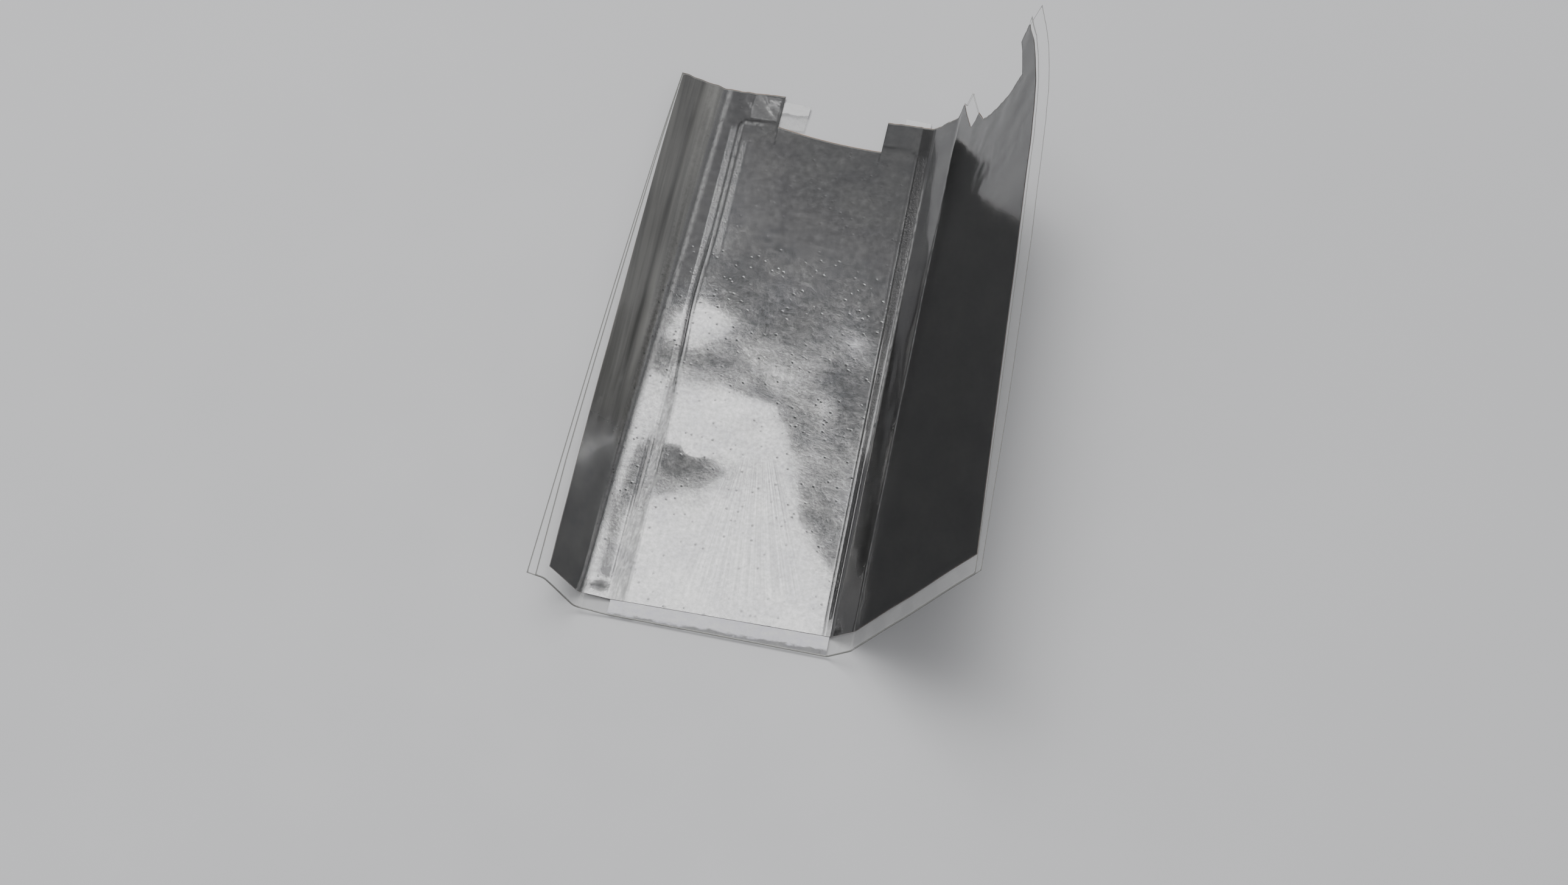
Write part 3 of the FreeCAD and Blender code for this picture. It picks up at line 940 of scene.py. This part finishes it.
GRAPHITE_LOOK = graphite_look()
FILM_LOOK = film_look()
COPPER_LOOK = copper_look()
DRY_LOOK = dry_strip_look()
TAPE_LOOK = tape_look()
TAB_FILM_LOOK = tab_film_look()
CATHODE_LOOK = plate_look(
    "cathode_coating", (0.020, 0.020, 0.022), (0.035, 0.035, 0.038), 220.0, 0.0, 0.55
)
ALUMINIUM_LOOK = plate_look(
    "aluminium_foil", (0.62, 0.62, 0.63), (0.78, 0.78, 0.79), 150.0, 1.0, 0.25
)
BASE_FILM_LOOK = base_film_look()


# ---------------------------------------------------------------- the five layers of the wrap
# a layer's node, kind, depth under the top face, thickness, look and slot
UNDER_COPPER = FILM + GRAPHITE + COPPER
LAYERS = [
    ("upper_separator", "upper", 0.0, FILM, FILM_LOOK, "separator_film"),
    ("upper_graphite", "coating", FILM, GRAPHITE, GRAPHITE_LOOK, "graphite_coating"),
    ("copper_foil", "foil", FILM + GRAPHITE, COPPER, COPPER_LOOK, "copper_foil"),
    ("lower_graphite", "coating", UNDER_COPPER, GRAPHITE, GRAPHITE_LOOK, "graphite_coating"),
    ("lower_separator", "lower", WRAP - FILM, FILM, FILM_LOOK, "separator_film"),
]
# a panel's joint and the two bodies that it bends between
BENDS = {
    "left_side": ("left_side_fold", "centre", "left_side"),
    "left_wing": ("left_wing_fold", "left_side", "left_wing"),
    "right_side": ("right_side_fold", "centre", "right_side"),
    "right_wing": ("right_wing_fold", "right_side", "right_wing"),
}
# a panel's bend would start this far before its hinge and end this far past it, going level, or at
# the right wing's hinge going upwards at an angle between the side strip's and the wing's slopes;
# attach works out a direction from these, which nothing uses
BEND_RADIUS = 0.8 * MM
RIGHT_WING_RISE = math.radians(55)


def attach(piece, panel):
    """The centre rides on its body. Every other panel's piece keeps its place, baked into its points: a
    direction for its bend over the crease at its inner side is worked out but not used.
    """
    if panel == "centre":
        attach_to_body(piece, "centre")
        return
    fold, inner, outer = BENDS[panel]
    axis = np.array(JOINTS[fold]["axis"])
    axis = axis / np.linalg.norm(axis)
    side = np.array([-1.0 if panel.startswith("left") else 1.0, 0, 0])
    if panel == "right_wing":
        side = np.array([math.cos(RIGHT_WING_RISE), 0, math.sin(RIGHT_WING_RISE)])
    side = side - side.dot(axis) * axis
    side = side / np.linalg.norm(side) * BEND_RADIUS
    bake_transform(piece)


def make_wrap():
    for panel, grid in GRIDS.items():
        for layer, kind, depth, thick, look, slot in LAYERS:
            across, along = grid(kind)
            marks = coating_marks(across, along)
            if kind in ("upper", "lower"):
                marks = film_marks(panel, across, along)
            piece = shell(f"{panel}_{layer}_sheet", across, along, -depth, thick - LAYER_GAP, marks)
            piece.data.materials.append(look)
            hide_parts(f"{panel}_{layer}")
            attach(piece, panel)


# ---------------------------------------------------------------- small pieces of the centre
STRIP_THICK = 0.04
TAB_FILM_THICK = 0.025


def box_range(node):
    """The across and along ranges that a node's box covers."""
    low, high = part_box(node)
    return (low.x / MM, high.x / MM), (low.y / MM - FRONT_Y, high.y / MM - FRONT_Y)


def finish_piece(piece, look, node):
    """Dresses a small piece that stands in for a CAD node and rides on the centre."""
    piece.data.materials.append(look)
    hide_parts(node)
    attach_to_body(piece, "centre")


def make_dry_strip():
    """The dry strip between the films, with its rim waving in and out."""
    (left, right), (_, rear) = box_range("dry_separator_strip")
    rows = 22
    across = np.repeat(steps(left, right, 0.12)[None, :], rows, axis=0)
    rim = -front_overhang(across) + 0.18 + 0.10 * value_noise(across / 2.3, across * 0, 61)
    along = rear + np.linspace(1, 0, rows)[:, None] * (rim - rear)
    ripple = 0.025 * rough_noise(across * 0.8, along * 1.4, 62)
    top = -(FILM + GRAPHITE)
    piece = shell("dry_separator_strip_sheet", across, along, top, STRIP_THICK, {}, ripple)
    finish_piece(piece, DRY_LOOK, "dry_separator_strip")


def make_tape(node, dense_from, curl):
    """A strip of tab tape: its free end is doubled and lifts a little."""
    (left, right), (front, rear) = box_range(node)
    across, along = np.meshgrid(steps(left, right, 0.1), steps(front, rear, 0.1))
    skew = 0.05 * (along - front)
    rear_cut = 0.06 * (across - left) * smooth((along - rear + 1) / 1)
    past_ear = np.maximum(along - centre_end(across) - 0.1, 0)
    lift = curl * smooth(past_ear / 2) - 0.02
    wavy = dense_from + 0.15 * value_noise(across * 1.2, across * 0, 72)
    marks = {"dense": smooth((along - wavy) / 0.12)}
    place_across, place_along = across + skew, along - rear_cut
    sunk = np.maximum(relief(across, np.minimum(along, centre_end(across))), -0.08)
    upper = SHEET.point(0 * across, place_along, sunk + lift - WRAP) + 0 * across[..., None]
    upper[..., 0] = place_across * MM
    lower = upper - np.array([0, 0, (TAPE - 0.01) * MM])
    marks.update({"across": across, "along": along})
    piece = plate_mesh(node + "_strip", upper, lower, marks)
    finish_piece(piece, TAPE_LOOK, node)


def make_tab_film():
    """The clear film on the left ear, crumpled into sharp folds."""
    (left, right), (front, rear) = box_range("left_tab_film")
    across, along = np.meshgrid(steps(left, right, 0.08), steps(front, rear, 0.08))
    across = across + 0.15 * value_noise(along * 1.1, along * 0, 81)
    along = along + 0.12 * value_noise(across * 1.3, across * 0, 82)
    folds = 1 - np.abs(rough_noise(across * 0.9 + 0.5 * along, along * 0.5, 83))
    folds = np.maximum(folds, 1 - np.abs(rough_noise(across * 0.4, along * 1.1 - 0.5 * across, 84)))
    # where the folds turn white: partly white folds, partly painted glints
    white_folds_and_painted_glints = smooth((across + 11.6) / 1.6) * smooth((along - 87.0) / 1.5)
    marks = {"fold": folds, "white_folds_and_painted_glints": 0.03 + 0.3 * white_folds_and_painted_glints}
    lift = 0.15 * folds**3
    piece = shell("left_tab_film_sheet", across, along, 0.05, TAB_FILM_THICK, marks, lift)
    finish_piece(piece, TAB_FILM_LOOK, "left_tab_film")


def dress_plate():
    """Materials for the plate and base film under the centre panel, which keep their CAD form."""
    for node, look in (
        ("cathode_upper_coating", CATHODE_LOOK), ("aluminium_foil", ALUMINIUM_LOOK),
        ("cathode_lower_coating", CATHODE_LOOK), ("base_separator", BASE_FILM_LOOK),
    ):
        materials = frame["nodes"][node].data.materials
        materials.clear()
        materials.append(look)


make_wrap()
make_dry_strip()
make_tape("left_tab_tape", 86.9, 0.25)
make_tape("right_tab_tape", 88.2, 0.2)
make_tab_film()
dress_plate()


# ---------------------------------------------------------------- floor, light and camera
# The camera's place is measured from the middle of the sheet's front edge, on its top face.
FLOOR_HALF = 1.5
FLOOR_DROP = 0.06 * MM
EYE_ACROSS, EYE_ALONG, EYE_UP = 32.28, -123.53, 268.54
EYE_ELEVATION, EYE_AZIMUTH = math.radians(60), math.radians(10.79)


def table_look():
    """A pale grey painted table with the faintest clouding."""
    look = Look("table")
    place = look.object_place()
    clouds = look.noise(place, 9.0, 4.0)
    look.link(look.ramp(clouds, [(0.3, (0.80, 0.80, 0.812)), (0.7, (0.84, 0.84, 0.852))]), "Base Color")
    look.link(look.ramp(look.noise(place, 60.0), [(0.3, 0.5), (0.7, 0.6)]), "Roughness")
    return look.material


def make_floor():
    mesh = bpy.data.meshes.new("floor")
    half = FLOOR_HALF
    corners = [(-half, -half, 0), (half, -half, 0), (half, half, 0), (-half, half, 0)]
    mesh.from_pydata(corners, [], [(0, 1, 2, 3)])
    floor = bpy.data.objects.new("floor", mesh)
    floor.location.z = -FLOOR_DROP
    bpy.context.scene.collection.objects.link(floor)
    floor.data.materials.append(table_look())


def area_light(name, place, turn, size, power):
    """A rectangular light that faces straight down, turned about the vertical."""
    light = bpy.data.lights.new(name, "AREA")
    light.shape = "RECTANGLE"
    light.size, light.size_y = size
    light.energy = power
    lamp = bpy.data.objects.new(name, light)
    lamp.location = place
    lamp.rotation_euler = (0, 0, turn)
    bpy.context.scene.collection.objects.link(lamp)


def make_light():
    area_light("softbox", (-0.208, 0.321, 1.0), math.radians(-37), (0.75, 0.56), 7.0)
    area_light("fill", (0.25, -0.9, 1.0), 0, (1.2, 0.8), 1.4)
    world = bpy.data.worlds.new("studio")
    world.use_nodes = True
    world.node_tree.nodes["Background"].inputs["Color"].default_value = (0.95, 0.96, 0.98, 1)
    world.node_tree.nodes["Background"].inputs["Strength"].default_value = 0.35
    bpy.context.scene.world = world


def make_camera():
    camera = bpy.data.cameras.new("camera")
    camera.lens, camera.sensor_width = 50, 36
    camera.clip_start, camera.clip_end = 0.01, 10
    eye = bpy.data.objects.new("camera", camera)
    eye.location = (EYE_ACROSS * MM, (EYE_ALONG + FRONT_Y) * MM, (EYE_UP + TOP_Z) * MM)
    eye.rotation_euler = (math.pi / 2 - EYE_ELEVATION, 0, EYE_AZIMUTH)
    bpy.context.scene.collection.objects.link(eye)
    bpy.context.scene.camera = eye


make_floor()
make_light()
make_camera()
